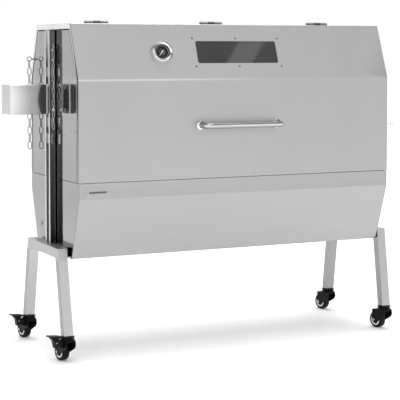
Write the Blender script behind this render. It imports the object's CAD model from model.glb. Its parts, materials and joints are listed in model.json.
"""Looks for the hooded charcoal spit roaster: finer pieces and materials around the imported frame.

Lengths are in metres. X runs along the roaster with the motor at its negative end, -Y is the front.
"""
import json
import math

import bmesh
import bpy
from mathutils import Matrix, Vector


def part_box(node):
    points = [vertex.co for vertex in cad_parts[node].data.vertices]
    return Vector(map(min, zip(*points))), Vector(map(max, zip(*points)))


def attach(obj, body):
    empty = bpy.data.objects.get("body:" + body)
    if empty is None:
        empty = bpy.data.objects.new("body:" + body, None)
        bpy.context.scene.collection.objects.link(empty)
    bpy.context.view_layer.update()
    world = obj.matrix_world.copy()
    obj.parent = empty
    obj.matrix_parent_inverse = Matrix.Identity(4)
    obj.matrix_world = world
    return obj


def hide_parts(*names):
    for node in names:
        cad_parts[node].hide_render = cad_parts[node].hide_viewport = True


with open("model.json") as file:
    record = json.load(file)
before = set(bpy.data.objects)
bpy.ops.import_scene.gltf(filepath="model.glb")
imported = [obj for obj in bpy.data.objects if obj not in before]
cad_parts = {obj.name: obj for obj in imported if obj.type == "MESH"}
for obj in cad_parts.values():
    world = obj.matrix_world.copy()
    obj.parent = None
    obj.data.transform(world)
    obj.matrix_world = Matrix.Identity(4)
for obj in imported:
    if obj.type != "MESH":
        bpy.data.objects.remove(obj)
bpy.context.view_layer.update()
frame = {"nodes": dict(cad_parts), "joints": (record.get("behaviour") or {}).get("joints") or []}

# --- Places read from the frame ---
JOINTS = {joint["name"]: joint for joint in frame["joints"]}
PIVOT = {name: Vector(joint["pos_m"]) for name, joint in JOINTS.items() if "pos_m" in joint}
CENTRE = Vector((PIVOT["lid_hinge"].x, PIVOT["lid_hinge"].y, 0))  # the hood's centre, on the floor
HINGE_Z = PIVOT["lid_hinge"].z
SPIT = PIVOT["spit_turn"]
LID_LOW, LID_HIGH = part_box("front_lid")
TROUGH_LOW, TROUGH_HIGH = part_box("firebox_trough")
RAIL_LOW, RAIL_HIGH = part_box("rail_left")
GLASS_LOW, GLASS_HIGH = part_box("window_glass")
MOTOR_LOW, MOTOR_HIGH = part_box("motor_housing")
HANDLE_LOW, HANDLE_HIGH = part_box("lid_handle")

DEPTH = 2 * (CENTRE.y - LID_LOW.y)
FRONT_Y = CENTRE.y - DEPTH / 2
TOP_Z = LID_HIGH.z
LID_FOOT_Z = LID_LOW.z
SEAM_Z = TROUGH_HIGH.z
BOTTOM_Z = TROUGH_LOW.z
PANEL_X = -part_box("upper_end_panel_left")[0].x + CENTRE.x  # from the centre to a panel's outer face


def corner_height(node, y, pick):
    """The highest or lowest corner of a node's solid at one Y."""
    points = [v.co for v in frame["nodes"][node].data.vertices]
    return pick(p.z for p in points if abs(p.y - y) < 1e-5)


def corner_depth(node, z):
    """How far from the hood's centre line a node's outermost corner at one height lies."""
    points = [v.co for v in frame["nodes"][node].data.vertices]
    return max(abs(p.y - CENTRE.y) for p in points if abs(p.z - z) < 1e-5)


UPPER_BEND_Z = corner_height("front_lid", LID_LOW.y, max)
LOWER_BEND_Z = corner_height("firebox_trough", TROUGH_LOW.y, min)
TOP_DEPTH = 2 * corner_depth("front_lid", TOP_Z)
BOTTOM_DEPTH = 2 * corner_depth("firebox_trough", BOTTOM_Z)

SLOPE = (DEPTH - TOP_DEPTH) / 2 / (TOP_Z - UPPER_BEND_Z)
SLANT = Vector((0, -1, SLOPE)).normalized()
UP_SLANT = Vector((0, SLANT.z, -SLANT.y))
SLANT_AXES = Matrix((Vector((1, 0, 0)), UP_SLANT, SLANT)).transposed().to_4x4()

# --- Sizes ---
GAP = 0.0003  # between a fitting and the sheet it stands on
SHEET = 0.0012
BEND_R = 0.0045  # outer radius of the folds in the sheets
LID_EDGE_Y = 0.00075  # the two hood sheets stop this far from the hinge line
END_FLANGE = 0.01
TOP_FLANGE = 0.017
SEAL_WIDTH = 0.007
SEAL_THICKNESS = 0.0005

WINDOW_SIZE = (0.2835, 0.0735)
PANE_SIZE = (0.291, 0.084)
WINDOW_CORNER = 0.006
WINDOW_X = (GLASS_LOW.x + GLASS_HIGH.x) / 2 - CENTRE.x
WINDOW_Z = 0.9325
WINDOW_SCREWS_X = (-0.1505, 0, 0.1515)  # from the window's centre
WINDOW_SCREWS_Z = (0.0435, -0.0445)

THERMOMETER = PIVOT["needle_turn"]
THERMOMETER_X = THERMOMETER.x - CENTRE.x
THERMOMETER_R = 0.035
BEZEL_INNER_R = THERMOMETER_R - 0.011
DIAL_R = BEZEL_INNER_R - GAP
DIAL_TOP = 0.0045  # above the slanted front
MARK_HEIGHT = 0.00025
DIAL_START = 130  # degrees from upright to the first mark
TICKS = 26
FIGURES = 6

HANDLE_R = 0.009
HANDLE_BEND_R = 0.02
ROSETTE_R = 0.014

BADGE_SIZE = (0.083, 0.034)
BADGE_X = CENTRE.x - 0.4825
DASHES = 9
DASH_SIZE = (0.0042, 0.0058)
DASH_PITCH = 0.0062

HINGE_X = {1: -0.402, 2: 0.0, 3: 0.402}
LEAF_TOP = HINGE_Z - 0.0042

END_CHAIN = {"links": 12, "pitch": 0.024, "wire": 0.0016, "width": 0.015}
RAIL_CHAIN = {"links": 14, "pitch": 0.0185, "wire": 0.0012, "width": 0.009}
EYE_R = 0.0073
EYE_WIRE_R = 0.0017
CHAIN_PLAY = 0.0004
BRACKET_BOLTS_Z = (0.908, 0.939)
RAIL_BOLTS_Z = (0.502, 0.4295, 0.372)

FORK_HALF = 0.018  # half the width over a caster fork's arms
FORK_ARM = 0.003
WHEEL_HALF = 0.012
PEDAL_PIN = (-0.043, 0.0635)
TREAD_PLACE = (-0.0463, 0, 0.0828)
TREAD_LEAN = math.atan2(0.0043, 0.0425)
RIBS = 6
RIB_PITCH = 0.0058

BOX_FOLD = 0.0022  # outer radius of the motor box's folds

SPIT_R = 0.01
SPIT_TAIL_R = 0.006
SPIT_TIP_X = 0.586  # from the hood's centre
PRONG_REACH = 0.055

# --- Camera and surround ---
CAMERA_AIM = CENTRE + Vector((-0.0384, 0, 0.7424))
CAMERA_YAW = math.radians(25.505)
CAMERA_TILT = math.radians(2.509)
CAMERA_DISTANCE = 4.4019
CAMERA_LENS = 120.64
CAMERA_SHIFT = (0.0, -0.225)
FLOOR_SIZE = 40.0
# How bright the surround is, from straight down (0) to straight up (1)
SKY = ((0.0, 1.0), (0.1, 1.0), (0.32, 1.3), (0.6, 1.3), (0.68, 0.4), (0.88, 0.4), (0.93, 2.7))


# --- Mesh helpers ---
def link(name, mesh):
    thing = bpy.data.objects.new(name, mesh)
    bpy.context.scene.collection.objects.link(thing)
    return thing


def kept(builder):
    """A new object with what the builder holds."""
    mesh = bpy.data.meshes.new("solid")
    builder.to_mesh(mesh)
    builder.free()
    return link("solid", mesh)


def solid_from(builder):
    bmesh.ops.recalc_face_normals(builder, faces=builder.faces)
    return kept(builder)


def smooth(thing, angle=32):
    """Smooth shading that keeps hard edges, with normals that favour the large flat faces."""
    thing.data.shade_smooth()
    thing.data.set_sharp_from_angle(angle=math.radians(angle))
    step = thing.modifiers.new("normals", "WEIGHTED_NORMAL")
    step.keep_sharp = True
    return applied(thing)


def applied(thing):
    """Keeps what a piece's modifiers make as its own mesh."""
    bpy.context.view_layer.update()
    seen = thing.evaluated_get(bpy.context.evaluated_depsgraph_get())
    mesh = bpy.data.meshes.new_from_object(seen)
    thing.modifiers.clear()
    thing.data = mesh
    return thing


def boolean(target, others, operation="DIFFERENCE"):
    """The target cut by the others or joined with them. The others are used up."""
    for other in others:
        step = target.modifiers.new("boolean", "BOOLEAN")
        step.operation = operation
        step.solver = "EXACT"
        step.object = other
    applied(target)
    for other in others:
        bpy.data.objects.remove(other)
    return target


def bevelled(thing, width, segments=2, angle=30):
    step = thing.modifiers.new("bevel", "BEVEL")
    step.width = width
    step.segments = segments
    step.limit_method = "ANGLE"
    step.angle_limit = math.radians(angle)
    step.harden_normals = False
    return applied(thing)


def merged(*things):
    """Several solids as one object of separate bodies, for a row of screws or a chain's links."""
    builder = bmesh.new()
    for thing in things:
        builder.from_mesh(thing.data)
        bpy.data.objects.remove(thing)
    return kept(builder)


def prism(axis, outline, low, high):
    """A flat outline drawn out along one axis."""
    place = {
        "X": lambda a, b, along: (along, a, b),
        "Y": lambda a, b, along: (a, along, b),
        "Z": lambda a, b, along: (a, b, along),
    }[axis]
    builder = bmesh.new()
    near = [builder.verts.new(place(a, b, low)) for a, b in outline]
    far = [builder.verts.new(place(a, b, high)) for a, b in outline]
    builder.faces.new(near)
    builder.faces.new(far)
    for i in range(len(outline)):
        after = (i + 1) % len(outline)
        builder.faces.new((near[i], near[after], far[after], far[i]))
    return solid_from(builder)


def box(low, high):
    outline = [(low[0], low[1]), (high[0], low[1]), (high[0], high[1]), (low[0], high[1])]
    return prism("Z", outline, low[2], high[2])


def circle(radius, steps):
    angles = [math.tau * i / steps for i in range(steps)]
    return [(radius * math.cos(a), radius * math.sin(a)) for a in angles]


def turned(profile, origin, axis, steps):
    """A closed (radius, height) profile spun round an axis through the origin."""
    builder = bmesh.new()
    rings = []
    for radius, height in profile:
        if radius == 0:
            rings.append([builder.verts.new((0, 0, height))] * steps)
            continue
        rings.append([builder.verts.new((a, b, height)) for a, b in circle(radius, steps)])
    for row, ring in enumerate(rings):
        above = rings[(row + 1) % len(rings)]
        if profile[row][0] == 0 and profile[(row + 1) % len(rings)][0] == 0:
            continue
        for i in range(steps):
            j = (i + 1) % steps
            corners = [ring[i], ring[j], above[j], above[i]]
            builder.faces.new([v for n, v in enumerate(corners) if v not in corners[:n]])
    turn = Vector((0, 0, 1)).rotation_difference(Vector(axis)).to_matrix().to_4x4()
    bmesh.ops.transform(builder, matrix=Matrix.Translation(origin) @ turn, verts=builder.verts)
    return solid_from(builder)


def rod(radius, start, end, steps, edge=0.0):
    """A round bar with an optional chamfer at both ends."""
    start, end = Vector(start), Vector(end)
    length = (end - start).length
    profile = [(0, 0), (radius - edge, 0), (radius, edge), (radius, length - edge), (radius - edge, length),
               (0, length)]
    if not edge:
        profile = [(0, 0), (radius, 0), (radius, length), (0, length)]
    return turned(profile, start, end - start, steps)


def swept(points, radius, sides, closed=False):
    """A round bar along a list of points."""
    points = [Vector(point) for point in points]
    count = len(points)
    builder = bmesh.new()
    rings = []
    side = None
    for i, point in enumerate(points):
        if closed:
            ahead = (points[(i + 1) % count] - points[i - 1]).normalized()
        else:
            ahead = (points[min(i + 1, count - 1)] - points[max(i - 1, 0)]).normalized()
        side = (side - ahead * side.dot(ahead)).normalized() if side else ahead.orthogonal().normalized()
        up = ahead.cross(side)
        rings.append([builder.verts.new(point + a * side + b * up) for a, b in circle(radius, sides)])
    pairs = list(zip(rings, rings[1:])) + ([(rings[-1], rings[0])] if closed else [])
    for lower, upper in pairs:
        for n in range(sides):
            after = (n + 1) % sides
            builder.faces.new((lower[n], lower[after], upper[after], upper[n]))
    if not closed:
        builder.faces.new(rings[0])
        builder.faces.new(rings[-1])
    return solid_from(builder)


def arc(centre, radius, start, end, steps):
    angles = [math.radians(start + (end - start) * i / steps) for i in range(steps + 1)]
    return [(centre[0] + radius * math.cos(a), centre[1] + radius * math.sin(a)) for a in angles]


def rounded_rectangle(width, height, radius, steps=6):
    points = []
    for sx, sy, start in [(1, 1, 0), (-1, 1, 90), (-1, -1, 180), (1, -1, 270)]:
        centre = (sx * (width / 2 - radius), sy * (height / 2 - radius))
        points += arc(centre, radius, start, start + 90, steps)
    return points


def moved_right(path, distance):
    """An open path shifted to its own right, with mitred corners."""
    lines = []
    for (ax, ay), (bx, by) in zip(path, path[1:]):
        along = Vector((bx - ax, by - ay)).normalized()
        lines.append((Vector((ax, ay)) + Vector((along.y, -along.x)) * distance, along))
    points = [lines[0][0]]
    for (p, u), (q, v) in zip(lines, lines[1:]):
        points.append(p + u * ((q - p).cross(v) / u.cross(v)))
    points.append(lines[-1][0] + lines[-1][1] * (Vector(path[-1]) - Vector(path[-2])).length)
    return [tuple(point) for point in points]


def folded(path, radius, steps=5):
    """The path with each inner corner replaced by an arc of the given radius."""
    points = [path[0]]
    for before, here, after in zip(path, path[1:], path[2:]):
        here = Vector(here)
        back, on = (Vector(before) - here).normalized(), (Vector(after) - here).normalized()
        half = back.angle(on) / 2
        reach = radius / math.tan(half)
        centre = here + (back + on).normalized() * (radius / math.sin(half))
        start, end = here + back * reach - centre, here + on * reach - centre
        for i in range(steps + 1):
            mix = start.lerp(end, i / steps).normalized() * radius
            points.append(tuple(centre + mix))
    return points + [path[-1]]


def mirrored(outline):
    return [(2 * CENTRE.y - a, b) for a, b in outline]


def moved(thing, place):
    """Carries a thing drawn round the origin to its place."""
    thing.data.transform(place)
    return thing


def middle(node):
    """The centre of a node's box."""
    return [(a + b) / 2 for a, b in zip(*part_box(node))]


def on_slant(x, z, height):
    """A point over the slanted front of the lid. x is measured from the hood's centre."""
    y = FRONT_Y + (z - UPPER_BEND_Z) * SLOPE
    return Vector((CENTRE.x + x, y, z)) + SLANT * height


def onto_slant(thing, x, z, height=0.0, turn=0.0):
    """Carries a thing drawn round the origin, facing +Z, onto the slanted front."""
    place = Matrix.Translation(on_slant(x, z, height)) @ SLANT_AXES @ Matrix.Rotation(turn, 4, "Z")
    return moved(thing, place)


# --- Materials ---
class Maker:
    """A short way to write a node tree."""

    def __init__(self, name):
        self.material = bpy.data.materials.new(name)
        self.material.use_nodes = True
        self.tree = self.material.node_tree
        self.shader = self.tree.nodes["Principled BSDF"]
        self.place = self.node("ShaderNodeTexCoord").outputs["Object"]
        self.streaks = None

    def node(self, kind, **values):
        node = self.tree.nodes.new(kind)
        for key, value in values.items():
            setattr(node, key, value)
        return node

    def wire(self, start, end):
        self.tree.links.new(start, end)

    def fill(self, socket, value):
        """Wires a socket's source, or sets its value."""
        if hasattr(value, "is_linked"):
            self.wire(value, socket)
        else:
            socket.default_value = value

    def noise(self, scale, detail=2.0, roughness=0.5):
        """Noise with its own scale along each axis."""
        mapping = self.node("ShaderNodeMapping")
        mapping.inputs["Scale"].default_value = scale
        self.wire(self.place, mapping.inputs["Vector"])
        noise = self.node("ShaderNodeTexNoise")
        noise.inputs["Scale"].default_value = 1.0
        noise.inputs["Detail"].default_value = detail
        noise.inputs["Roughness"].default_value = roughness
        self.wire(mapping.outputs["Vector"], noise.inputs["Vector"])
        return noise.outputs["Fac"]

    def spread(self, source, low, high, out_low=0.0, out_high=1.0):
        spread = self.node("ShaderNodeMapRange")
        limits = {"From Min": low, "From Max": high, "To Min": out_low, "To Max": out_high}
        for name, value in limits.items():
            spread.inputs[name].default_value = value
        self.wire(source, spread.inputs["Value"])
        return spread.outputs["Result"]

    def below(self, source, low, high):
        """1 up to the low value, falling to 0 at the high one."""
        return self.spread(source, low, high, 1.0, 0.0)

    def blend(self, factor, first, second):
        mix = self.node("ShaderNodeMix", data_type="RGBA")
        self.wire(factor, mix.inputs["Factor"])
        for socket, value in ((mix.inputs[6], first), (mix.inputs[7], second)):
            self.fill(socket, value if hasattr(value, "is_linked") else (*value, 1))
        return mix.outputs[2]

    def math(self, operation, *values):
        node = self.node("ShaderNodeMath", operation=operation)
        for socket, value in zip(node.inputs, values):
            self.fill(socket, value)
        return node.outputs[0]

    def minus(self, first, second):
        return self.math("SUBTRACT", first, second)

    def times(self, first, *others):
        for other in others:
            first = self.math("MULTIPLY", first, other)
        return first

    def size_of(self, value):
        return self.math("ABSOLUTE", value)

    def split(self, vector, axis):
        node = self.node("ShaderNodeSeparateXYZ")
        self.wire(vector, node.inputs["Vector"])
        return node.outputs[axis]

    def along(self, axis, origin=0.0):
        """The place along one axis, in the piece's own space."""
        place = self.split(self.place, axis)
        return self.minus(place, origin) if origin else place

    def facing(self, axis):
        """How far the surface faces along one axis, in the piece's own space."""
        return self.split(self.node("ShaderNodeTexCoord").outputs["Normal"], axis)

    def tinted(self, colour, factor):
        """A colour socket made lighter or darker."""
        node = self.node("ShaderNodeVectorMath", operation="SCALE")
        self.wire(colour, node.inputs["Vector"])
        node.inputs["Scale"].default_value = factor
        return node.outputs["Vector"]

    def toned(self, mask, colour, factor):
        """A colour socket made lighter or darker where the mask is 1."""
        return self.blend(mask, colour, self.tinted(colour, factor))

    def worn_edges(self, low=0.52, high=0.62):
        """1 along sharp outer edges, 0 on flat stretches."""
        return self.spread(self.node("ShaderNodeNewGeometry").outputs["Pointiness"], low, high)

    def bump(self, height, strength, distance):
        bump = self.node("ShaderNodeBump")
        bump.inputs["Strength"].default_value = strength
        bump.inputs["Distance"].default_value = distance
        self.wire(height, bump.inputs["Height"])
        self.wire(bump.outputs["Normal"], self.shader.inputs["Normal"])

    def surface(self, base, roughness, **values):
        """Wires the colour and roughness, and sets the shader's other values."""
        self.wire(base, self.shader.inputs["Base Color"])
        self.fill(self.shader.inputs["Roughness"], roughness)
        for name, value in values.items():
            self.shader.inputs[name.replace("_", " ")].default_value = value
        return self.material


def grey(level):
    return (level, level, level)


def scaled(colour, factor):
    return tuple(min(1.0, c * factor) for c in colour)


def brushed(name, colour, roughness, grain, streak, relief, smudge, shade=None):
    """Steel sheet with a rolled or brushed grain. The grain runs along the axis of the smallest scale."""
    m = Maker(name)
    fine = m.noise(grain, 3.0, 0.6)
    broad = m.noise([g * 0.14 for g in grain])
    cloud = m.noise(grey(5), 3.0, 0.6)
    m.streaks = m.spread(broad, 0.35, 0.65)
    base = m.blend(m.streaks, scaled(colour, 1 - streak), scaled(colour, 1 + streak))
    base = m.blend(m.spread(cloud, 0.35, 0.7, 0, 0.5), base, scaled(colour, 1 - smudge))
    base = m.blend(m.worn_edges(), base, scaled(colour, 1.18))
    if shade:
        base = shade(m, base)
    rough = m.spread(fine, 0.3, 0.7, roughness * 0.82, roughness * 1.15)
    patchy = m.math("MULTIPLY_ADD", cloud, roughness * 0.25, rough)
    m.bump(fine, relief, 0.0002)
    return m.surface(base, patchy, Metallic=1.0)


def plated(name, colour, roughness, mottle, shade=None):
    """Chrome or zinc: bright, with faint clouds and slightly dull patches."""
    m = Maker(name)
    cloud = m.noise(grey(60), 3.0, 0.6)
    base = m.blend(m.spread(cloud, 0.3, 0.7), scaled(colour, 1 - mottle), colour)
    base = m.blend(m.worn_edges(), base, scaled(colour, 1.12))
    if shade:
        base = shade(m, base)
    m.bump(m.noise(grey(900), 2.0), 0.04, 0.0001)
    return m.surface(base, m.spread(cloud, 0.3, 0.7, roughness * 0.7, roughness * 1.4), Metallic=1.0)


def coated(name, colour, edge, roughness, metallic=0.0, grain=700, relief=0.12, shine=0.5, shade=None):
    """A painted, moulded or blackened surface with lighter worn edges and a fine texture."""
    m = Maker(name)
    cloud = m.noise(grey(25), 3.0, 0.6)
    base = m.blend(m.spread(cloud, 0.3, 0.7), scaled(colour, 0.8), scaled(colour, 1.25))
    base = m.blend(m.worn_edges(0.53, 0.7), base, edge)
    if shade:
        base = shade(m, base)
    m.bump(m.noise(grey(grain), 3.0, 0.6), relief, 0.0002)
    rough = m.spread(cloud, 0.3, 0.7, roughness * 0.8, roughness * 1.2)
    return m.surface(base, rough, Metallic=metallic, Specular_IOR_Level=shine)


def tinted_glass():
    m = Maker("dark_glass")
    haze = m.noise(grey(14), 3.0, 0.6)
    base = m.blend(m.spread(haze, 0.35, 0.7), (0.008, 0.008, 0.0082), (0.014, 0.014, 0.0142))
    return m.surface(base, m.spread(haze, 0.3, 0.7, 0.02, 0.05), Transmission_Weight=0.25, IOR=1.5)


def clear_lens():
    m = Maker("clear_lens")
    haze = m.noise(grey(80), 2.0)
    base = m.blend(haze, (0.96, 0.97, 0.97), grey(1.0))
    return m.surface(base, m.spread(haze, 0.3, 0.7, 0.01, 0.04), Transmission_Weight=1.0, IOR=1.08)


def burnt_steel():
    """Grate and pan steel: dark scale with rust-brown patches and pale ash in the hollows."""
    m = Maker("burnt_steel")
    patch = m.noise(grey(18), 5.0, 0.65)
    fine = m.noise(grey(500), 3.0, 0.6)
    ash = m.noise(grey(45), 4.0, 0.7)
    base = m.blend(m.spread(patch, 0.4, 0.65), (0.045, 0.043, 0.042), (0.115, 0.085, 0.065))
    base = m.blend(m.spread(ash, 0.58, 0.75, 0, 0.5), base, (0.3, 0.29, 0.28))
    m.bump(fine, 0.25, 0.0004)
    return m.surface(base, m.spread(fine, 0.3, 0.7, 0.45, 0.75), Metallic=0.5)


def wheel_rubber():
    """Black rubber with a little grey dust."""
    m = Maker("wheel_rubber")
    dust = m.noise(grey(70), 4.0, 0.65)
    base = m.blend(m.spread(dust, 0.5, 0.75, 0, 0.35), (0.004, 0.004, 0.0045), (0.025, 0.024, 0.023))
    m.bump(m.noise(grey(600), 3.0, 0.6), 0.1, 0.0002)
    return m.surface(base, m.spread(dust, 0.3, 0.7, 0.3, 0.48), Specular_IOR_Level=0.12)


# --- Shades that follow the shape ---
def hood_shades(m, base):
    """Broad faint bands along the sheet, then the shades of its ends, its left rim and its slant."""
    bands = m.spread(m.noise((7, 0.6, 0.6), 3.0, 0.6), 0.3, 0.7)
    base = m.toned(bands, base, 0.965)
    return slant_shades(m, rim_line(m, flange_shades(m, base)))


def flange_shades(m, base):
    """Bright end faces, a greyer front flange, and a bright inner face on the rear sheet's overhang."""
    end_face = m.spread(m.size_of(m.facing("X")), 0.7, 0.8)
    front = m.below(m.along("Y"), CENTRE.y - 0.05, CENTRE.y)
    under_top = m.below(m.along("Z"), TOP_Z - 0.02, TOP_Z - 0.017)
    flange = m.times(end_face, front, under_top)
    base = m.toned(flange, m.toned(end_face, base, 1.7), 0.9)
    overhang = m.spread(m.size_of(m.along("X", CENTRE.x)), PANEL_X, PANEL_X + 0.0004)
    inner = m.below(m.facing("Y"), -0.3, -0.2)
    rear = m.spread(m.along("Y"), CENTRE.y + 0.02, CENTRE.y + 0.04)
    base = m.blend(m.times(overhang, inner, rear), base, (0.98, 0.98, 0.97))
    return m.toned(m.times(flange, m.below(m.along("Z"), 0.62, 0.74)), base, 0.58)


def rim_line(m, base):
    """A black line round the lid's left end, close to its outer face and weaker at the top and foot."""
    rim = m.below(m.along("X"), LID_LOW.x + 0.0016, LID_LOW.x + 0.0022)
    front = m.below(m.along("Y"), CENTRE.y - 0.05, CENTRE.y)
    inward = m.along("Y", FRONT_Y)
    up = m.along("Z", UPPER_BEND_Z)
    from_slant = m.minus(m.times(inward, -SLANT.y), m.times(up, SLANT.z))
    outer = m.below(m.math("MINIMUM", inward, from_slant), 0.0052, 0.006)
    fade = m.times(m.spread(m.along("Z"), 0.6, 0.76, 0.45, 1.0), m.spread(up, 0.02, 0.11, 1.0, 0.45))
    return m.blend(m.times(rim, front, outer, fade), base, grey(0.01))


def slant_shades(m, base):
    """The slanted front darkens to the right, and its lower fold is burnished on the left."""
    up = m.along("Z", UPPER_BEND_Z)
    to_right = m.spread(m.along("X"), CENTRE.x - 0.5, CENTRE.x + 0.5)
    slant = m.blend(to_right, m.tinted(base, 1.05), m.tinted(base, 0.93))
    base = m.blend(m.spread(up, -0.002, 0.002), base, slant)
    line = m.below(m.size_of(up), 0.002, 0.0032)
    left = m.spread(m.along("X"), CENTRE.x - 0.25, CENTRE.x + 0.1, 1.0, 0.1)
    return m.toned(m.times(line, left), base, 1.42)


def trough_shades(m, base):
    """The trough's slant is a little brighter than its upright rim."""
    return m.toned(m.below(m.along("Z"), LOWER_BEND_Z, LOWER_BEND_Z + 0.004), base, 1.035)


def stand_shades(m, base):
    """Each leg's own tone, a darker left side on it, and a darker left crossbar."""
    right = m.spread(m.along("X"), CENTRE.x - 0.05, CENTRE.x + 0.05)
    left = m.minus(1.0, right)
    rear = m.spread(m.along("Y"), CENTRE.y - 0.02, CENTRE.y + 0.02)
    leg = m.below(m.along("Z"), BOTTOM_Z - 0.006, BOTTOM_Z + 0.002)
    side = m.times(m.below(m.facing("X"), -0.8, -0.6), leg)
    tones = ((m.times(left, rear, leg), 1.26), (m.times(right, rear), 0.71),
             (m.times(right, m.minus(1.0, rear)), 0.92), (side, 0.66))
    toned = base
    for mask, factor in tones:
        toned = m.blend(mask, toned, m.tinted(base, factor))
    return m.toned(m.times(m.minus(1.0, leg), left), toned, 0.86)


def panel_shades(m, base):
    """The end panels get darker towards the foot, and brighter where the carriage stands before them."""
    base = m.toned(m.below(m.along("Z"), 0.5, 0.62), base, 0.81)
    base = m.blend(m.spread(m.along("Z"), 0.6, 0.95), m.tinted(base, 0.93), m.tinted(base, 1.1))
    level = m.below(m.size_of(m.along("Z", SPIT.z)), 0.046, 0.052)
    beside = m.minus(RAIL_LOW.y, m.along("Y"))
    near = m.times(m.spread(beside, -0.002, 0.0), m.below(beside, 0.064, 0.07))
    return m.toned(m.times(level, near), base, 2.0)


def rail_shades(m, _base):
    """Bright lips, a mouth that darkens downwards, and side walls that are darkest of all near the panel."""
    aside = m.size_of(m.along("Y", CENTRE.y))
    half = (RAIL_HIGH.y - RAIL_LOW.y) / 2
    depth = m.minus(m.size_of(m.along("X", CENTRE.x)), PANEL_X)
    face = m.spread(depth, 0.0208, 0.0212)
    inside = m.blend(m.spread(m.along("Z"), TOP_Z - 0.16, TOP_Z - 0.05), grey(0.6), grey(0.9))
    shade = m.blend(m.times(face, 0.9), inside, grey(0.3))
    shade = m.blend(m.times(face, m.spread(aside, half - 0.004, half - 0.0032)), shade, grey(0.9))
    height = m.spread(m.along("Z"), BOTTOM_Z + 0.06, TOP_Z)
    dark = m.blend(height, (0.036, 0.036, 0.037), (0.26, 0.26, 0.258))
    dark = m.blend(m.streaks, m.tinted(dark, 0.72), m.tinted(dark, 1.25))
    wall = m.times(m.spread(aside, half - 0.0012, half - 0.0008), m.below(depth, 0.0204, 0.0208))
    shade = m.blend(wall, shade, dark)
    edge = m.times(m.below(depth, 0.0044, 0.0056), wall, 0.6)
    foot = m.times(m.below(depth, 0.003, 0.0038), wall)
    return m.blend(foot, m.blend(edge, shade, grey(0.26)), grey(0.003))


def box_shades(m, base):
    """A dark bowed patch near the box's open end, a bright one near its closed end, and a bright edge."""
    rise = m.along("Z", SPIT.z)
    bow = m.times(rise, rise, 5.8)
    bright = m.below(m.math("ADD", m.along("X"), bow), MOTOR_LOW.x + 0.008, MOTOR_LOW.x + 0.07)
    dark = m.spread(m.minus(m.along("X"), bow), MOTOR_HIGH.x - 0.033, MOTOR_HIGH.x - 0.029)
    edge = m.spread(m.along("X"), MOTOR_HIGH.x - 0.004, MOTOR_HIGH.x - 0.0034)
    base = m.blend(bright, base, grey(0.8))
    base = m.blend(dark, base, (0.1, 0.1, 0.101))
    base = m.blend(edge, base, (0.92, 0.92, 0.91))
    return m.blend(m.below(m.size_of(m.facing("X")), 0.6, 0.8), (0.51, 0.51, 0.5), base)


def bezel_shades(m, base):
    """Chrome that is bright where it faces down and left, and grey where it faces up and right."""
    toward = m.math("ADD", m.times(m.facing("X"), -0.6), m.times(m.facing("Z"), -0.8))
    return m.blend(m.spread(toward, -0.25, 0.35), m.tinted(base, 0.26), base)


def bar_shades(m, base):
    """Chrome bar with a dark line over its highlight and a grey one under it."""
    base = m.toned(m.spread(m.facing("Z"), 0.05, 0.3), base, 0.34)
    return m.toned(m.below(m.facing("Z"), -0.25, -0.05), base, 0.46)


def plate_shades(m, base):
    """The side of the left carriage's plate that faces the end panel mirrors light from below."""
    return m.blend(m.spread(m.facing("X"), 0.5, 0.8), base, grey(0.9))


LENGTHWISE = (3, 420, 420)
UPRIGHT = (420, 420, 3)
HOOD_STEEL = brushed("hood_steel", (0.362, 0.362, 0.36), 0.34, LENGTHWISE, 0.02, 0.06, 0.02, hood_shades)
TROUGH_STEEL = brushed("trough_steel", (0.353, 0.353, 0.351), 0.34, LENGTHWISE, 0.02, 0.06, 0.02,
                       trough_shades)
END_STEEL = brushed("end_steel", (0.29, 0.29, 0.286), 0.055, UPRIGHT, 0.03, 0.02, 0.02, panel_shades)
STAND_STEEL = brushed("stand_steel", grey(0.445), 0.38, (420, 420, 5), 0.04, 0.08, 0.04, stand_shades)
BOX_STEEL = brushed("motor_box_steel", (0.355, 0.355, 0.352), 0.16, UPRIGHT, 0.03, 0.04, 0.02, box_shades)
RAIL_STEEL = brushed("rail_steel", grey(0.38), 0.16, (420, 420, 2), 0.05, 0.05, 0.05, rail_shades)
CLAMP_STEEL = brushed("clamp_steel", (0.4, 0.4, 0.396), 0.2, LENGTHWISE, 0.03, 0.04, 0.02)
BADGE = brushed("badge_plate", (0.375, 0.375, 0.373), 0.3, (3, 600, 600), 0.03, 0.04, 0.02)
ZINC = plated("zinc_plate", (0.4, 0.4, 0.39), 0.24, 0.15)
CHROME = plated("chrome_plate", (0.74, 0.74, 0.75), 0.05, 0.05)
BEZEL = plated("bezel_chrome", (0.8, 0.8, 0.81), 0.08, 0.05, bezel_shades)
BAR = plated("bar_chrome", (0.78, 0.78, 0.79), 0.1, 0.05, bar_shades)
HINGE = plated("hinge_steel", grey(0.1), 0.3, 0.2)
PIN_LEAF = plated("hinge_pin_steel", grey(0.26), 0.3, 0.2)
SCREW = plated("screw_steel", grey(0.16), 0.3, 0.2)
SCORCHED = burnt_steel()
CAST = coated("motor_casting", (0.085, 0.087, 0.09), grey(0.3), 0.42, metallic=0.7)
CARRIAGE = coated("carriage_steel", (0.11, 0.11, 0.112), grey(0.3), 0.3, metallic=0.9, grain=500,
                  relief=0.06, shade=plate_shades)
BRACKET = coated("rail_bracket", (0.09, 0.09, 0.092), grey(0.2), 0.35, metallic=0.8, grain=500,
                 relief=0.06)
BLACK_PAINT = coated("caster_black", (0.004, 0.004, 0.0045), grey(0.02), 0.25, grain=300, relief=0.03,
                     shine=0.1)
BLACK_PLASTIC = coated("moulded_black", (0.008, 0.008, 0.0085), grey(0.02), 0.38, shine=0.12)
HUB_GREY = coated("hub_grey", (0.72, 0.72, 0.73), grey(0.8), 0.35)
SEAL = coated("seal_black", grey(0.012), grey(0.03), 0.6, shine=0.2)
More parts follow.
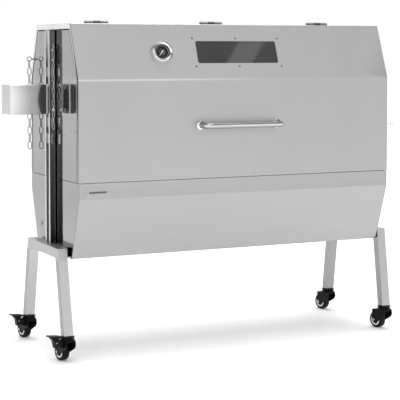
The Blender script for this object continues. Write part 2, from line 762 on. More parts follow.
DIAL = coated("dial_black", (0.008, 0.008, 0.0085), grey(0.02), 0.4, grain=500, relief=0.04, shine=0.15)
MARKS = coated("dial_white", (0.8, 0.8, 0.78), (0.85, 0.85, 0.83), 0.45, grain=400, relief=0.03)
NEEDLE = coated("needle_white", (0.82, 0.82, 0.79), (0.85, 0.85, 0.83), 0.4, grain=400, relief=0.03)
RUBBER = wheel_rubber()
GLASS = tinted_glass()
LENS = clear_lens()


# --- Pieces ---
def piece(thing, name, material, body, slot, *replaced):
    """Names a finished piece, gives it a material, and lets it ride on a body of the frame."""
    thing.name = name
    thing.data.name = name
    thing.data.materials.clear()
    thing.data.materials.append(material)
    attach(thing, body)
    if replaced:
        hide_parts(*replaced)
    return thing


def together(things, name, material, body, slot):
    """Several like solids as one piece."""
    piece(smooth(merged(*things)), name, material, body, slot)


def eased(node, name, material, body, slot, width, segments=2, angle=30):
    """A copy of a CAD solid with its edges broken, which stands for it."""
    thing = link(name, frame["nodes"][node].data.copy())
    builder = bmesh.new()
    builder.from_mesh(thing.data)
    bmesh.ops.remove_doubles(builder, verts=builder.verts, dist=1e-6)
    bmesh.ops.dissolve_limit(builder, angle_limit=math.radians(1), verts=builder.verts, edges=builder.edges)
    builder.to_mesh(thing.data)
    builder.free()
    smooth(bevelled(thing, width, segments, angle), 40)
    return piece(thing, name, material, body, slot, node)


def screw_head(radius, height):
    """A pan head with a cross recess, facing +Z on the plane z = 0."""
    dome = arc((0, -radius * 0.9), math.hypot(radius, radius * 0.9), 90, 48, 6)
    top = max(b for _, b in dome)
    dome = [(a, max(0.0, b) * height / top) for a, b in dome]
    profile = [(0, -0.0004), (radius, -0.0004)] + dome[::-1][:-1] + [(0, height)]
    head = turned(profile, (0, 0, 0), (0, 0, 1), 20)
    arm, thin = radius * 0.62, radius * 0.16
    cross = [box((-arm, -thin, height * 0.45), (arm, thin, height * 2)),
             box((-thin, -arm, height * 0.45), (thin, arm, height * 2))]
    return boolean(head, cross)


# --- Sheets of the hood and the trough ---
def sheet_solid(path, low, high):
    """A folded sheet from low to high in X. The path is its outer face."""
    outer = folded(path, BEND_R)
    inner = folded(moved_right(path, SHEET), BEND_R - SHEET)
    return prism("X", outer + inner[::-1], low, high)


def eased_sheet(sheet):
    return smooth(bevelled(sheet, 0.00028, 1, 50), 25)


def hood_path():
    """The outer face of the hood's front half, from its foot up to the hinge line."""
    return [(FRONT_Y, LID_FOOT_Z), (FRONT_Y, UPPER_BEND_Z), (CENTRE.y - TOP_DEPTH / 2, TOP_Z),
            (CENTRE.y - LID_EDGE_Y, TOP_Z)]


def flange_outline(path):
    """The narrow edge folded in at each end of the hood, wider under the flat top."""
    inner = moved_right(path[:-1], END_FLANGE)
    top = TOP_Z - TOP_FLANGE
    (ay, az), (by, bz) = inner[1], inner[2]
    corner = (ay + (top - az) * (by - ay) / (bz - az), top)
    return folded(path, BEND_R) + [(path[-1][0], top), corner, inner[1], inner[0]]


def hood_sheet():
    """The front half of the hood with its end flanges."""
    path = hood_path()
    ends = [prism("X", flange_outline(path), low, low + SHEET) for low in (LID_LOW.x, LID_HIGH.x - SHEET)]
    return boolean(sheet_solid(path, LID_LOW.x, LID_HIGH.x), ends, "UNION")


def make_lid():
    cutter = prism("Z", rounded_rectangle(*WINDOW_SIZE, WINDOW_CORNER), -0.01, 0.01)
    window = onto_slant(cutter, WINDOW_X, WINDOW_Z)
    inside, outside = (on_slant(THERMOMETER_X, THERMOMETER.z, height) for height in (-0.01, 0.01))
    stem = rod(0.0055, inside, outside, 24)
    lid = eased_sheet(boolean(hood_sheet(), [window, stem]))
    piece(lid, "front_lid_sheet", HOOD_STEEL, "lid", "hood_steel", "front_lid")


def make_lid_seals():
    """A thin black line inside the flange at each end of the lid."""
    path = hood_path()[:3]
    band = moved_right(path, END_FLANGE) + moved_right(path, END_FLANGE + SEAL_WIDTH)[::-1]
    for side, low in (("left", LID_LOW.x + 0.0014), ("right", LID_HIGH.x - 0.0019)):
        seal = smooth(prism("X", band, low, low + SEAL_THICKNESS))
        piece(seal, f"lid_end_seal_{side}", SEAL, "lid", "black_plastic")


def make_rear_hood():
    shell = hood_sheet()
    shell.data.transform(Matrix.Translation((0, 2 * CENTRE.y, 0)) @ Matrix.Scale(-1, 4, (0, 1, 0)))
    shell.data.flip_normals()
    piece(eased_sheet(shell), "rear_hood_sheet", HOOD_STEEL, "body", "hood_steel", "rear_hood")


def make_trough():
    half = [(FRONT_Y, SEAM_Z), (FRONT_Y, LOWER_BEND_Z), (CENTRE.y - BOTTOM_DEPTH / 2, BOTTOM_Z)]
    path = mirrored(half + mirrored(half)[::-1])
    trough = eased_sheet(sheet_solid(path, TROUGH_LOW.x, TROUGH_HIGH.x))
    piece(trough, "trough_sheet", TROUGH_STEEL, "body", "hood_steel", "firebox_trough")


# --- Window, thermometer, handle ---
def make_window():
    pane = bevelled(prism("Z", rounded_rectangle(*PANE_SIZE, WINDOW_CORNER), -0.0055, -0.0015), 0.0006)
    pane = smooth(onto_slant(pane, WINDOW_X, WINDOW_Z))
    piece(pane, "window_pane", GLASS, "lid", "window_glass", "window_glass")
    eased("window_retainer", "window_clamp_frame", CLAMP_STEEL, "lid", "end_steel", 0.0003, 1)
    heads = []
    for across in WINDOW_SCREWS_X:
        for up in WINDOW_SCREWS_Z:
            head = screw_head(0.0038, 0.0018)
            heads.append(onto_slant(head, WINDOW_X + across, WINDOW_Z + up, 0.0002, across * 9))
    together(heads, "window_screws", SCREW, "lid", "zinc")


def make_thermometer_case():
    """A cup with its stem, a cone-shaped wall and a rolled lip, and the nut behind the lid."""
    r, inner = THERMOMETER_R, BEZEL_INNER_R
    cup = [(0, -0.022), (0.005, -0.022), (0.005, 0), (r - 0.001, 0), (r, 0.001), (r - 0.003, 0.0085)]
    cup += arc((r - 0.0055, 0.011), 0.004, 0, 100, 8)
    cup += [(inner + 0.0006, 0.012), (inner, 0.0112), (inner, 0.003), (0, 0.003)]
    bezel = smooth(turned(cup, THERMOMETER, SLANT, 72))
    piece(bezel, "thermometer_bezel", BEZEL, "lid", "chrome", "thermometer_case")
    profile = [(0.0053, -0.0055), (0.0105, -0.0055), (0.0105, -0.0016), (0.0053, -0.0016)]
    nut = smooth(bevelled(turned(profile, THERMOMETER, SLANT, 6), 0.0004))
    piece(nut, "thermometer_nut", ZINC, "lid", "zinc")


def make_dial():
    """The black dial with its marks, under a slightly domed lens."""
    profile = [(0, 0.0033), (DIAL_R, 0.0033), (DIAL_R, DIAL_TOP), (0.0008, DIAL_TOP), (0.0008, 0.0036),
               (0, 0.0036)]
    face = smooth(turned(profile, THERMOMETER, SLANT, 64))
    piece(face, "thermometer_face", DIAL, "lid", "dial", "thermometer_dial")
    piece(merged(*dial_marks()), "thermometer_marks", MARKS, "lid", "dial")
    lens = turned([(0, 0.009), (DIAL_R, 0.0086), (DIAL_R, 0.01), (0, 0.0112)], THERMOMETER, SLANT, 64)
    piece(smooth(lens), "thermometer_lens", LENS, "lid", "window_glass")


def dial_bar(low, high, angle):
    """A thin raised bar on the dial, drawn upright and turned round the dial's centre."""
    bar = box((*low, DIAL_TOP), (*high, DIAL_TOP + MARK_HEIGHT))
    return onto_slant(bar, THERMOMETER_X, THERMOMETER.z, 0.0, math.radians(angle))


def dial_marks():
    """Ticks, every fifth one longer, a pair of short bars in place of each figure, and two thin rings."""
    marks = []
    for step in range(TICKS):
        start, half = (0.0135, 0.00115) if step % 5 == 0 else (0.016, 0.0006)
        marks.append(dial_bar((-half, start), (half, 0.0196), DIAL_START - 10 * step))
    for step in range(FIGURES):
        for left in (-0.0017, 0.0004):
            marks.append(dial_bar((left, 0.0108), (left + 0.0013, 0.0136), DIAL_START - 52 * step))
    for radius, wide in ((0.0204, 0.0006), (0.0082, 0.0004)):
        ring = [(radius, DIAL_TOP), (radius + wide, DIAL_TOP), (radius + wide, 0.0047), (radius, 0.0047)]
        marks.append(turned(ring, THERMOMETER, SLANT, 64))
    return marks


def make_needle():
    hub = [(0, 0.005), (0.0028, 0.005), (0.0028, 0.006), (0.0022, 0.0065), (0, 0.0065)]
    pointer = [(-0.0014, 0.006), (-0.0003, -0.019), (0.0003, -0.019), (0.0014, 0.006)]
    needle = boolean(turned(hub, (0, 0, 0), (0, 0, 1), 32), [prism("Z", pointer, 0.0052, 0.006)], "UNION")
    turn = Matrix.Rotation(math.radians(-40), 4, "Z")
    needle.data.transform(Matrix.Translation(THERMOMETER) @ SLANT_AXES @ turn)
    piece(smooth(needle), "thermometer_pointer", NEEDLE, "needle", "needle", "thermometer_needle")


def make_handle():
    """A bent bar on two stepped rosettes."""
    face = FRONT_Y - GAP
    z, r, bend = (HANDLE_LOW.z + HANDLE_HIGH.z) / 2, HANDLE_R, HANDLE_BEND_R
    reach = HANDLE_LOW.y + r
    left, right = HANDLE_LOW.x + ROSETTE_R, HANDLE_HIGH.x - ROSETTE_R
    route = [(left, face)] + arc((left + bend, reach + bend), bend, 180, 270, 12)
    route += arc((right - bend, reach + bend), bend, 270, 360, 12) + [(right, face)]
    bar = swept([(x, y, z) for x, y in route], r, 28)
    piece(smooth(bar, 50), "lid_handle_bar", BAR, "lid", "chrome", "lid_handle")
    shape = [(r + 0.0001, 0), (ROSETTE_R, 0), (ROSETTE_R, 0.001), (ROSETTE_R - 0.0006, 0.0018),
             (ROSETTE_R - 0.0018, 0.0026), (r + 0.0018, 0.0042), (r + 0.0001, 0.0048)]
    for side, x in (("left", left), ("right", right)):
        rosette = turned(shape, (x, face, z), (0, -1, 0), 56)
        piece(smooth(rosette), f"handle_rosette_{side}", BEZEL, "lid", "chrome")


def make_side_fittings():
    """A turned knob on the lid's left end and a tapered pin on its right end."""
    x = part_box("side_knob_left")[1].x
    _, y, z = middle("side_knob_left")
    ball = [(0, 0), (0.0045, 0), (0.0045, 0.0015), (0.0028, 0.003), (0.0025, 0.011), (0.006, 0.012)]
    ball += arc((0.0065, 0.015), 0.0025, -60, 60, 6) + [(0.0055, 0.019), (0.003, 0.0199), (0, 0.02)]
    knob = smooth(turned(ball, (x, y, z), (-1, 0, 0), 40))
    piece(knob, "lid_side_knob", ZINC, "lid", "chrome", "side_knob_left")
    cone = [(0, 0), (0.006, 0), (0.0058, 0.002), (0.0045, 0.006), (0.0027, 0.011), (0.0025, 0.015),
            (0.003, 0.0157), (0.003, 0.028), (0.0024, 0.0294), (0.0012, 0.03), (0, 0.03)]
    pin = smooth(turned(cone, (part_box("side_pin_right")[0].x, y, z), (1, 0, 0), 40))
    piece(pin, "lid_side_pin", CHROME, "lid", "chrome", "side_pin_right")


def make_badge():
    """A small plate with a row of plain dashes and two rivets, low on the trough's upright front."""
    place = Vector((BADGE_X, FRONT_Y, (SEAM_Z + LOWER_BEND_Z) / 2 - 0.003))
    plate = bevelled(prism("Y", rounded_rectangle(*BADGE_SIZE, 0.002), -0.0008, 0), 0.0002)
    piece(smooth(moved(plate, Matrix.Translation(place))), "blank_badge", BADGE, "body", "end_steel")
    dashes = []
    for step in range(DASHES):
        dash = bevelled(prism("Y", rounded_rectangle(*DASH_SIZE, 0.0006), -0.0012, -0.0008), 0.0001)
        aside = (step - (DASHES - 1) / 2) * DASH_PITCH
        dashes.append(moved(dash, Matrix.Translation(place + Vector((aside, 0, 0)))))
    together(dashes, "badge_dashes", SEAL, "body", "black_plastic")
    rivet = [(0, 0.0007), (0.0014, 0.0007), (0.0012, 0.0012), (0.0006, 0.0015), (0, 0.0015)]
    rivets = [turned(rivet, place + Vector((aside, 0, 0)), (0, -1, 0), 16) for aside in (-0.0375, 0.0375)]
    together(rivets, "badge_rivets", SCREW, "body", "zinc")


def make_hinge(number):
    """Two leaves with two screws each."""
    eased(f"hinge_lid_leaf_{number}", f"hinge_{number}_lid_leaf", HINGE, "lid", "zinc", 0.0004)
    eased(f"hinge_fixed_leaf_{number}", f"hinge_{number}_fixed_leaf", PIN_LEAF, "body", "zinc", 0.0004)
    pin_x = CENTRE.x + HINGE_X[number]
    for leaf, body, side in (("lid", "lid", -1), ("fixed", "body", 1)):
        heads = []
        for x in (pin_x - 0.024, pin_x + 0.024):
            place = Matrix.Translation((x, CENTRE.y + side * 0.0205, LEAF_TOP))
            heads.append(moved(screw_head(0.0035, 0.002), place @ Matrix.Rotation(x * 31, 4, "Z")))
        together(heads, f"hinge_{number}_{leaf}_screws", SCREW, body, "zinc")


# --- Rails, brackets, chains ---
def make_chain(top, size, body, name, *replaced):
    """Straight links that hang in each other, each turned a quarter against the one above."""
    pitch, wire, width = size["pitch"], size["wire"], size["width"]
    length = pitch + 2 * wire
    straight = length / 2 - width / 2
    half = width / 2 - wire
    loop = arc((0, straight), half, 0, 180, 8) + arc((0, -straight), half, 180, 360, 8)
    links = []
    for i in range(size["links"]):
        centre = Vector(top) - Vector((0, 0, length / 2 - wire + i * pitch))
        route = [centre + (Vector((a, 0, b)) if i % 2 else Vector((0, a, b))) for a, b in loop]
        links.append(swept(route, wire, 10, closed=True))
    piece(smooth(merged(*links), 60), name, ZINC, body, "zinc", *replaced)


def make_eye_bolt(end, side):
    """A ring on a shank, with a nut and a washer against the end panel."""
    eye = PIVOT[f"chain_swing_{end}"]
    base = Vector((CENTRE.x + side * (PANEL_X + GAP), eye.y, eye.z))
    wire = [(EYE_R + a, b) for a, b in arc((0, 0), EYE_WIRE_R, 0, 330, 11)]
    ring = turned(wire, eye, (0, 1, 0), 40)
    shank = rod(0.0032, base, (eye.x - side * (EYE_R - 0.0003), eye.y, eye.z), 20)
    ring = smooth(boolean(ring, [shank], "UNION"), 45)
    piece(ring, f"eye_bolt_{end}_ring", ZINC, "body", "zinc", f"eye_bolt_{end}")
    shape = [(0.0024, 0.0009), (0.005, 0.0009), (0.005, 0.004), (0.0024, 0.004)]
    nut = smooth(bevelled(turned(shape, base, (side, 0, 0), 6), 0.0004))
    piece(nut, f"eye_bolt_{end}_nut", ZINC, "body", "zinc")
    shape = [(0.0024, 0), (0.006, 0), (0.006, 0.0007), (0.0024, 0.0007)]
    piece(smooth(turned(shape, base, (side, 0, 0), 32)), f"eye_bolt_{end}_washer", ZINC, "body", "zinc")


def make_end(end, side):
    """An end's two panels and rail, its eye bolt with the chain, and its lock pin."""
    for node in (f"lower_end_panel_{end}", f"upper_end_panel_{end}"):
        eased(node, node + "_sheet", END_STEEL, "body", "end_steel", 0.00025, 1)
    eased(f"rail_{end}", f"rail_{end}_channel", RAIL_STEEL, "body", "zinc", 0.0006, 2, 50)
    make_eye_bolt(end, side)
    hang = EYE_R - EYE_WIRE_R - END_CHAIN["wire"] - CHAIN_PLAY
    top = PIVOT[f"chain_swing_{end}"] - Vector((0, 0, hang))
    make_chain(top, END_CHAIN, f"chain_{end}", f"chain_{end}_links", f"chain_{end}")
    low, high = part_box(f"lock_pin_{end}")
    x, _, z = middle(f"lock_pin_{end}")
    shaft = rod(0.003, (x, low.y + 0.002, z), (x, high.y, z), 28, 0.0006)
    head = rod(0.0045, (x, low.y, z), (x, low.y + 0.006, z), 32, 0.0008)
    pin = smooth(boolean(shaft, [head], "UNION"))
    piece(pin, f"lock_pin_{end}_bar", CHROME, f"pin_{end}", "chrome", f"lock_pin_{end}")


def make_rail_fittings():
    """On the left rail's front side: a bracket with two bolts, and a chain on a hook."""
    x, front = CENTRE.x - PANEL_X - 0.0115, RAIL_LOW.y
    plate = box((x - 0.0085, front - 0.0018, 0.9), (x + 0.0085, front - GAP, 0.947))
    piece(smooth(bevelled(plate, 0.0004)), "rail_bracket", BRACKET, "body", "zinc")
    bolt = [(0, 0), (0.0036, 0), (0.0036, 0.0006), (0.0026, 0.0018), (0.0012, 0.0024), (0, 0.0025)]
    bolts = [turned(bolt, (x, front - 0.0018, z), (0, -1, 0), 20) for z in BRACKET_BOLTS_Z]
    together(bolts, "rail_bracket_bolts", ZINC, "body", "zinc")
    make_chain((x, front - 0.0095, 0.952), RAIL_CHAIN, "body", "rail_chain")
    route = [(x, front - GAP, 0.9565), (x, front - 0.006, 0.9565)]
    route += [(x, y, z) for y, z in arc((front - 0.006, 0.953), 0.0035, 90, 290, 10)]
    piece(smooth(swept(route, 0.0012, 10), 50), "rail_chain_hook", ZINC, "body", "zinc")


def make_rail_bolts(end, side):
    """Three hexagon heads in a rail's web."""
    web = CENTRE.x + side * (PANEL_X + GAP + 0.002)
    head = [(0, 0), (0.0055, 0), (0.0055, 0.0035), (0, 0.0035)]
    heads = [bevelled(turned(head, (web, CENTRE.y, z), (side, 0, 0), 6), 0.0005) for z in RAIL_BOLTS_Z]
    together(heads, f"rail_bolts_{end}", ZINC, "body", "zinc")


# --- Stand and casters ---
def make_stand(end):
    eased(f"crossbar_{end}", f"crossbar_{end}_tube", STAND_STEEL, "body", "stand_steel", 0.0012, 3)
    for row in ("front", "rear"):
        eased(f"leg_{row}_{end}", f"leg_{row}_{end}_tube", STAND_STEEL, "body", "stand_steel", 0.0022, 3)


def make_caster(row, end):
    """A caster, drawn with its swivel on Z and its axle along X, then turned as the frame has it."""
    swivel, axle = PIVOT[f"swivel_{row}_{end}"], PIVOT[f"roll_{row}_{end}"]
    across = Vector(JOINTS[f"roll_{row}_{end}"]["axis"])
    foot = Matrix.Translation((swivel.x, swivel.y, 0))
    turn = foot @ Matrix.Rotation(math.atan2(across.y, across.x), 4, "Z")
    hub = ((axle.xy - swivel.xy).length, axle.z)
    make_caster_fork(row, end, hub, turn)
    make_caster_nuts(row, end, hub, turn)
    make_wheel(row, end, axle, across)
    if end == "left":
        make_pedal(row, turn)


def disc_profile():
    """Two stacked swivel discs with rolled rims and a race between them."""
    points = [(0, 0.06), (0.0165, 0.06), (0.0172, 0.065)]
    points += arc((0.0212, 0.0688), 0.0017, -90, 90, 6)
    points += [(0.0185, 0.0712), (0.0185, 0.0728)]
    points += arc((0.0208, 0.0762), 0.0021, -90, 90, 6)
    return points + [(0.015, 0.0796), (0, 0.0797)]


def make_caster_fork(row, end, hub, turn):
    """The swivel discs and two hood-like arms, with two ears for the pedal on a braked caster."""
    head = turned(disc_profile(), (0, 0, 0), (0, 0, 1), 48)
    trail = hub[0]
    side = [(-0.0195, 0.066), (-0.0215, 0.05), (-0.015, 0.04), (0.012, 0.025)]
    side += arc(hub, 0.0092, 225, 360, 8) + [(trail + 0.01, 0.045), (trail + 0.008, 0.064)]
    side += [(0.0215, 0.0662)]
    places = (-FORK_HALF, FORK_HALF - FORK_ARM)
    arms = [bevelled(prism("X", side, low, low + FORK_ARM), 0.001, 2) for low in places]
    roof = [(-0.0195, 0.06), (trail + 0.008, 0.06), (trail + 0.007, 0.0638), (0.0215, 0.0662),
            (-0.0175, 0.0662)]
    crown = bevelled(prism("X", roof, -FORK_HALF, FORK_HALF), 0.0012, 2)
    fork = boolean(crown, arms + [head], "UNION")
    if end == "left":
        ear = [(-0.016, 0.066), (-0.046, 0.0682), (-0.0485, 0.065), (-0.0475, 0.0605), (-0.016, 0.042)]
        ears = [bevelled(prism("Y", ear, low, low + 0.002), 0.0004, 1) for low in (-0.0108, 0.0088)]
        fork = boolean(fork, ears, "UNION")
    fork = smooth(moved(fork, turn), 35)
    body = f"caster_{row}_{end}"
    piece(fork, body + "_fork", BLACK_PAINT, body, "caster_black", f"caster_fork_{row}_{end}")


def make_caster_nuts(row, end, hub, turn):
    """The axle's nuts, and the pedal's pin on a braked caster."""
    profile = [(0, 0), (0.0052, 0), (0.0052, 0.0026), (0.003, 0.0028), (0.003, 0.0032), (0, 0.0032)]
    nuts = []
    for side in (-1, 1):
        nut = turned(profile, (side * (FORK_HALF - 0.0002), *hub), (side, 0, 0), 6)
        nuts.append(bevelled(nut, 0.0004, 2, 40))
    if end == "left":
        x, z = PEDAL_PIN
        nuts.append(rod(0.0019, (x, -0.0122, z), (x, 0.0122, z), 20, 0.0003))
    piece(smooth(moved(merged(*nuts), turn)), f"caster_{row}_{end}_nuts", ZINC, f"caster_{row}_{end}", "zinc")


def make_wheel(row, end, axle, across):
    """A round-shouldered tyre on a plastic hub, with a light ring on both faces."""
    body, low = f"wheel_{row}_{end}_spin", -WHEEL_HALF
    tread = [(0.0188, low + 0.0022), (0.0204, low + 0.0006), (0.024, low + 0.0006)]
    tread += arc((0.0234, low + 0.0042), 0.0038, -80, 0, 5)
    tyre = smooth(turned(both_faces(tread), axle, across, 64))
    piece(tyre, f"wheel_{row}_{end}_tyre", RUBBER, body, "tyre", f"wheel_{row}_{end}")
    core = [(0.0043, low - 0.0006), (0.009, low - 0.0006), (0.0095, low), (0.0105, low + 0.0022),
            (0.0187, low + 0.0022)]
    hub = smooth(turned(both_faces(core), axle, across, 48))
    piece(hub, f"wheel_{row}_{end}_hub", BLACK_PLASTIC, body, "black_plastic")
    ring = [(0.0142, low + 0.002), (0.0186, low + 0.002), (0.0186, low + 0.0009), (0.018, low + 0.0005),
            (0.0148, low + 0.0005), (0.0142, low + 0.0009)]
    rings = [turned(ring, axle, across * face, 56) for face in (-1, 1)]
    together(rings, f"wheel_{row}_{end}_rings", HUB_GREY, body, "tyre")


def both_faces(profile):
    """A (radius, height) profile followed by its mirror image on the wheel's other side."""
    return profile + [(a, -b) for a, b in profile[::-1]]


def make_pedal(row, turn):
    """A brake pedal with a ribbed tread that leans outwards."""
    outline = [(-0.06, 0.0806), (-0.057, 0.076), (-0.051, 0.069), (-0.0484, 0.062), (-0.0478, 0.055),
               (-0.046, 0.048), (-0.042, 0.0452), (-0.0388, 0.047), (-0.0384, 0.056), (-0.038, 0.065),
               (-0.0345, 0.0735), (-0.0252, 0.079), (-0.0252, 0.0815), (-0.06, 0.085)]
    lever = bevelled(prism("Y", outline, -0.0084, 0.0084), 0.0006, 2)
    leaning = Matrix.Translation(TREAD_PLACE) @ Matrix.Rotation(TREAD_LEAN, 4, "Y")
    tread = bevelled(prism("Z", rounded_rectangle(0.0424, 0.03, 0.004), -0.0018, 0.0014), 0.0008, 2)
    tread.data.transform(leaning)
    x, z = PEDAL_PIN
    bore = rod(0.0024, (x, -0.02, z), (x, 0.02, z), 20)
    pedal = boolean(boolean(lever, [tread], "UNION"), [bore])
    ribs = []
    for i in range(RIBS):
        left = -0.017 + RIB_PITCH * i
        ribs.append(moved(box((left, -0.012, 0.0006), (left + 0.0024, 0.012, 0.002)), leaning))
    pedal = moved(boolean(pedal, ribs, "UNION"), turn)
    name = f"brake_pedal_{row}"
    piece(smooth(pedal, 35), name + "_body", BLACK_PAINT, f"pedal_{row}", "caster_black", name + "_left")


# --- Drive and spit ---
def make_motor_box():
    """A folded box that is open towards the rail, with holes for the switch and the cord's gland."""
    low, high = MOTOR_LOW, MOTOR_HIGH
    _, y, z = middle("motor_housing")
    wide, tall = high.y - low.y, high.z - low.z
    outer = [(y + a, z + b) for a, b in rounded_rectangle(wide, tall, BOX_FOLD)]
    inner = rounded_rectangle(wide - 2 * SHEET, tall - 2 * SHEET, BOX_FOLD - SHEET)
    shell = bevelled(prism("X", outer, low.x, high.x), 0.0008, 2, 60)
    hollow = prism("X", [(y + a, z + b) for a, b in inner], low.x + SHEET, high.x + 0.01)
    x, _, gland_z = middle("cord_gland")
    inlet = rod(0.0085, (x, high.y - 0.01, gland_z), (x, high.y + 0.01, gland_z), 40)
    shell = smooth(boolean(shell, [hollow, switch_hole(0.0005, 0.0012), inlet]), 35)
    piece(shell, "motor_box", BOX_STEEL, "drive", "end_steel", "motor_housing")
    heads = []
    for up in (-0.03, 0.03):
        for x in (low.x + 0.01, high.x - 0.01):
            place = Matrix.Translation((x, high.y, z + up))
            heads.append(moved(screw_head(0.0028, 0.0016), place @ Matrix.Rotation(-math.pi / 2, 4, "X")))
    together(heads, "motor_box_screws", SCREW, "drive", "zinc")


def switch_hole(play_x, play_z):
    """A cutter through the box's back for the rocker switch, with some play round it."""
    low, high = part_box("rocker_switch")
    back = MOTOR_HIGH.y
    return box((low.x - play_x, back - 0.01, low.z - play_z), (high.x + play_x, back + 0.01, high.z + play_z))


def make_switch():
    x, _, z = middle("rocker_switch")
    outline = [(x + a, z + b) for a, b in rounded_rectangle(0.0235, 0.0315, 0.002)]
    bezel = boolean(prism("Y", outline, MOTOR_HIGH.y, MOTOR_HIGH.y + 0.0014), [switch_hole(0.0003, 0.0004)])
    piece(smooth(bevelled(bezel, 0.0003, 2)), "switch_bezel", BLACK_PLASTIC, "drive", "black_plastic")
    eased("rocker_switch", "switch_rocker", BLACK_PLASTIC, "rocker", "black_plastic", 0.0005)


def make_gland():
    """A stepped strain relief with a bore for a cord."""
    profile = [(0.003, -0.006), (0.008, -0.006), (0.008, 0.0003), (0.0108, 0.0003), (0.011, 0.0006),
               (0.011, 0.0036), (0.0104, 0.0042), (0.0082, 0.0048), (0.0078, 0.0062), (0.008, 0.0068),
               (0.0074, 0.0074), (0.007, 0.0088), (0.0066, 0.0098), (0.006, 0.01), (0.003, 0.01)]
    x, _, z = middle("cord_gland")
    gland = smooth(turned(profile, (x, MOTOR_HIGH.y, z), (0, 1, 0), 48))
    piece(gland, "cord_gland_body", BLACK_PLASTIC, "drive", "black_plastic", "cord_gland")


def make_carriages():
    eased("gear_motor", "gear_motor_body", CAST, "drive", "dark_steel", 0.0012)
    eased("carriage_left", "carriage_left_block", CARRIAGE, "drive", "dark_steel", 0.0006)
    eased("carriage_right", "carriage_right_block", CARRIAGE, "bearing", "dark_steel", 0.0006)
    eased("spit_bush", "spit_bush_ring", ZINC, "bearing", "zinc", 0.0003, 1, 50)


def make_spit():
    """The shaft, thinner where it passes the end panels, with a stepped tip on the right."""
    start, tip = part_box("spit_shaft")[0].x - CENTRE.x, SPIT_TIP_X
    inner, collar = PANEL_X - SHEET - 0.005, SPIT_TIP_X - 0.012
    shaft = [(0, start), (SPIT_TAIL_R - 0.0008, start), (SPIT_TAIL_R, start + 0.0008), (SPIT_TAIL_R, -inner),
             (SPIT_R, 0.004 - inner), (SPIT_R, inner - 0.004), (SPIT_TAIL_R, inner), (SPIT_TAIL_R, collar),
             (0.0115, collar), (0.012, collar + 0.0005), (0.012, tip - 0.002), (0.0112, tip - 0.0005),
             (0.01, tip), (0, tip)]
    bar = turned(shaft, (CENTRE.x, SPIT.y, SPIT.z), (1, 0, 0), 48)
    piece(smooth(bar), "spit_bar", CHROME, "spit", "chrome", "spit_shaft")
    eased("drive_socket", "drive_socket_sleeve", ZINC, "spit", "zinc", 0.0004, 2, 50)


def make_meat_fork(end, side):
    """A hub with four spokes, each with a pointed prong towards the meat, and its thumbscrew."""
    centre = Vector((middle(f"fork_screw_{end}")[0], SPIT.y, SPIT.z))
    rim = both_faces([(0.0103, -0.012), (0.017, -0.012), (0.018, -0.011)])
    prong = [(0, -0.006), (0.0026, -0.006), (0.0034, -0.005), (0.0034, 0.085), (0.002, 0.097),
             (0.0005, 0.105), (0, 0.105)]
    parts = []
    for angle in (45, 135, 225, 315):
        out = Vector((0, math.cos(math.radians(angle)), math.sin(math.radians(angle))))
        tip = centre + out * PRONG_REACH
        parts.append(rod(0.004, centre + out * 0.014, tip + out * 0.002, 20))
        parts.append(turned(prong, tip, (-side, 0, 0), 20))
    fork = boolean(turned(rim, centre, (1, 0, 0), 48), parts, "UNION")
    up = Vector((0, 0, 1))
    fork = boolean(fork, [rod(0.0036, centre + up * 0.006, centre + up * 0.025, 24)])
    piece(smooth(fork, 40), f"meat_fork_{end}_body", CHROME, f"fork_{end}", "chrome", f"meat_fork_{end}")
    grip = [(0, 0.0103), (0.0028, 0.0103), (0.003, 0.0108), (0.003, 0.019), (0.004, 0.019),
            (0.004, 0.024), (0.0085, 0.0246), (0.0092, 0.0254), (0.0092, 0.03), (0.0084, 0.0308),
            (0, 0.031)]
    knob = smooth(turned(grip, centre, up, 36))
    piece(knob, f"thumbscrew_{end}", ZINC, f"screw_{end}", "zinc", f"fork_screw_{end}")


def make_firebox():
    eased("charcoal_grate", "charcoal_grate_bars", SCORCHED, "body", "dark_steel", 0.0012, 2)
    eased("ash_pan", "ash_pan_tray", SCORCHED, "body", "dark_steel", 0.0004, 1)


# --- Stage ---
def make_floor():
    floor = box((-FLOOR_SIZE, -FLOOR_SIZE, -0.05), (FLOOR_SIZE, FLOOR_SIZE, 0.0))
    floor.name = "floor"
    m = Maker("floor_paper")
    base = m.blend(m.noise(grey(0.7), 2.0), grey(0.945), grey(0.975))
    floor.data.materials.append(m.surface(base, 0.75, Specular_IOR_Level=0.1))


def make_world():
    """A white surround with a dark ring high up, which gives round chrome its dark lines."""
    world = bpy.data.worlds.new("studio")
    world.use_nodes = True
    tree = world.node_tree
    background = tree.nodes["Background"]
    place = tree.nodes.new("ShaderNodeTexCoord")
    split = tree.nodes.new("ShaderNodeSeparateXYZ")
    tree.links.new(place.outputs["Generated"], split.inputs["Vector"])
    ramp = tree.nodes.new("ShaderNodeValToRGB")
    stops = ramp.color_ramp.elements
    for position, level in SKY[1:-1]:
        stops.new(position).color = (*grey(level), 1)
    for stop, (position, level) in ((stops[0], SKY[0]), (stops[len(stops) - 1], SKY[-1])):
        stop.position = position
        stop.color = (*grey(level), 1)
    tree.links.new(split.outputs["Z"], ramp.inputs["Fac"])
    tree.links.new(ramp.outputs["Color"], background.inputs["Color"])
    background.inputs["Strength"].default_value = 1.0
    bpy.context.scene.world = world


def area_light(name, size, power):
    light = bpy.data.lights.new(name, "AREA")
    light.shape = "RECTANGLE"
    light.size, light.size_y = size
    light.energy = power
    return link(name, light)


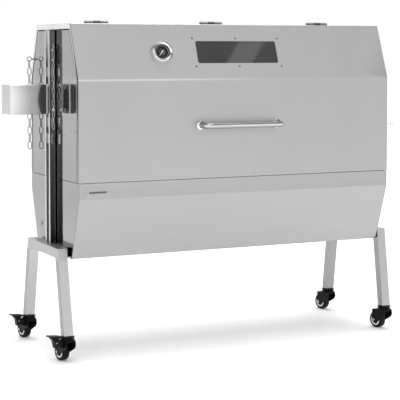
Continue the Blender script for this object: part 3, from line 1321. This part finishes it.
def aimed(lamp, place, aim):
    lamp.location = place
    lamp.rotation_euler = (Vector(aim) - Vector(place)).to_track_quat("-Z", "Y").to_euler()


def make_lights():
    aimed(area_light("key", (2.6, 2.0), 35), (-1.8, -3.2, 3.6), (0, 0, 0.5))
    aimed(area_light("top", (3.6, 3.0), 85), (0.4, 0.6, 4.2), (0, 0, 0.4))


def make_window_strip():
    """A small lit strip that shows in the window as one slanting band."""
    across, rise = Vector((0.142, 0.02, -0.017)), Vector((0.077, 0.063, 0.092)).normalized()
    across -= rise * across.dot(rise)
    lamp = area_light("strip", (across.length, 0.4), 0.22)
    side = across.normalized()
    turn = Matrix((side, rise, side.cross(rise))).transposed()
    lamp.matrix_world = Matrix.Translation((1.471, -2.186, 2.671)) @ turn.to_4x4()


def make_camera():
    camera = bpy.data.cameras.new("camera")
    camera.lens = CAMERA_LENS
    camera.sensor_width = 36
    camera.shift_x, camera.shift_y = CAMERA_SHIFT
    camera.clip_end = 200
    eye = link("camera", camera)
    level = math.cos(CAMERA_TILT)
    ahead = Vector((math.sin(CAMERA_YAW) * level, math.cos(CAMERA_YAW) * level, -math.sin(CAMERA_TILT)))
    eye.location = CAMERA_AIM - ahead * CAMERA_DISTANCE
    eye.rotation_euler = (math.pi / 2 - CAMERA_TILT, 0, -CAMERA_YAW)
    bpy.context.scene.camera = eye


make_camera()
make_lid()
make_lid_seals()
make_rear_hood()
make_trough()
make_window()
make_thermometer_case()
make_dial()
make_needle()
make_handle()
make_side_fittings()
make_badge()
for hinge in HINGE_X:
    make_hinge(hinge)
for end_name, sign in (("left", -1), ("right", 1)):
    make_end(end_name, sign)
    make_stand(end_name)
    for row_name in ("front", "rear"):
        make_caster(row_name, end_name)
    make_rail_bolts(end_name, sign)
    make_meat_fork(end_name, sign)
make_rail_fittings()
make_motor_box()
make_switch()
make_gland()
make_carriages()
make_spit()
make_firebox()
make_floor()
make_world()
make_lights()
make_window_strip()
bpy.context.scene.view_settings.view_transform = "Standard"
